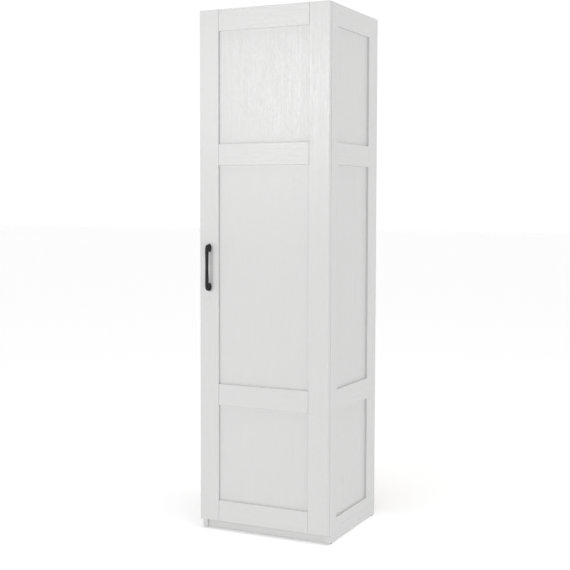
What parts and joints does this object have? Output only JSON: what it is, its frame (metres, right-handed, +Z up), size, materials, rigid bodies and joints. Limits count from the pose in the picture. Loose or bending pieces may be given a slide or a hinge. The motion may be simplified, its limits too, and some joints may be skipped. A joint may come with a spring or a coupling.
{
  "type": "broom cupboard",
  "caption": "Tall narrow white cupboard with one framed door, a black bow handle, framed sides, a hat shelf, small shelves and a broom bay.",
  "frame": {"origin": "on the floor, under the middle of the whole cupboard with its handle", "axes": "+X to the right as seen from the front, +Y to the back, +Z up; the door faces -Y"},
  "size_m": [0.5, 0.468, 1.85],
  "materials": {
    "white_foil_frame": "white foil with an embossed wood grain, on fibreboard",
    "white_foil_board": "white melamine-faced chipboard",
    "white_hardboard": "white lacquered hardboard",
    "beech_dowel": "plain beech",
    "zinc_plated_steel": "bright zinc plating",
    "die_cast_zinc": "die-cast, dull",
    "nickel_plated_steel": "nickel plating",
    "white_plastic": "moulded",
    "black_plastic": "moulded",
    "soft_bumper": "clear soft dot",
    "black_cast_metal": "satin black paint on a zinc casting"
  },
  "bodies": {
    "carcass": {"left_front_stile": "white_foil_frame", "left_back_stile": "white_foil_frame", "left_bottom_rail": "white_foil_frame", "left_lower_rail": "white_foil_frame", "left_upper_rail": "white_foil_frame", "left_top_rail": "white_foil_frame", "left_bottom_panel": "white_foil_frame", "left_middle_panel": "white_foil_frame", "left_top_panel": "white_foil_frame", "right_front_stile": "white_foil_frame", "right_back_stile": "white_foil_frame", "right_bottom_rail": "white_foil_frame", "right_lower_rail": "white_foil_frame", "right_upper_rail": "white_foil_frame", "right_top_rail": "white_foil_frame", "right_bottom_panel": "white_foil_frame", "right_middle_panel": "white_foil_frame", "right_top_panel": "white_foil_frame", "top_board": "white_foil_board", "bottom_board": "white_foil_board", "hat_shelf": "white_foil_board", "plinth": "white_foil_board", "divider": "white_foil_board", "low_shelf": "white_foil_board", "middle_shelf": "white_foil_board", "high_shelf": "white_foil_board", "back_panel": "white_hardboard", "dowels": "beech_dowel", "cam_bolts": "zinc_plated_steel", "cam_locks": "die_cast_zinc", "shelf_pins": "white_plastic", "floor_glides": "black_plastic", "hinge_plates": "nickel_plated_steel", "hinge_plate_screws": "zinc_plated_steel", "hinge_arms": "nickel_plated_steel", "hinge_arm_screws": "zinc_plated_steel", "hinge_arm_pins": "nickel_plated_steel", "wall_bracket": "zinc_plated_steel", "wall_bracket_screws": "zinc_plated_steel"},
    "hinge_link": {"hinge_links": "nickel_plated_steel"},
    "door": {"door_left_stile": "white_foil_frame", "door_right_stile": "white_foil_frame", "door_bottom_rail": "white_foil_frame", "door_lower_rail": "white_foil_frame", "door_upper_rail": "white_foil_frame", "door_top_rail": "white_foil_frame", "door_bottom_panel": "white_foil_frame", "door_middle_panel": "white_foil_frame", "door_top_panel": "white_foil_frame", "door_handle": "black_cast_metal", "handle_screws": "zinc_plated_steel", "hinge_cups": "nickel_plated_steel", "hinge_cup_screws": "zinc_plated_steel", "hinge_cup_pins": "nickel_plated_steel", "door_bumpers": "soft_bumper"}
  },
  "joints": [
    {"name": "link_swing", "type": "hinge", "parent": "carcass", "child": "hinge_link", "pos_m": [0.219, -0.196, 0.943], "axis": [0, 0, 1], "range_deg": [-29.9, 0]},
    {"name": "door_turn", "type": "hinge", "parent": "hinge_link", "child": "door", "pos_m": [0.2395, -0.201, 0.943], "axis": [0, 0, 1], "range_deg": [0, 130]}
  ],
  "couplings": [
    {"joint": "link_swing", "follows": "door_turn", "ratio": -0.23}
  ]
}
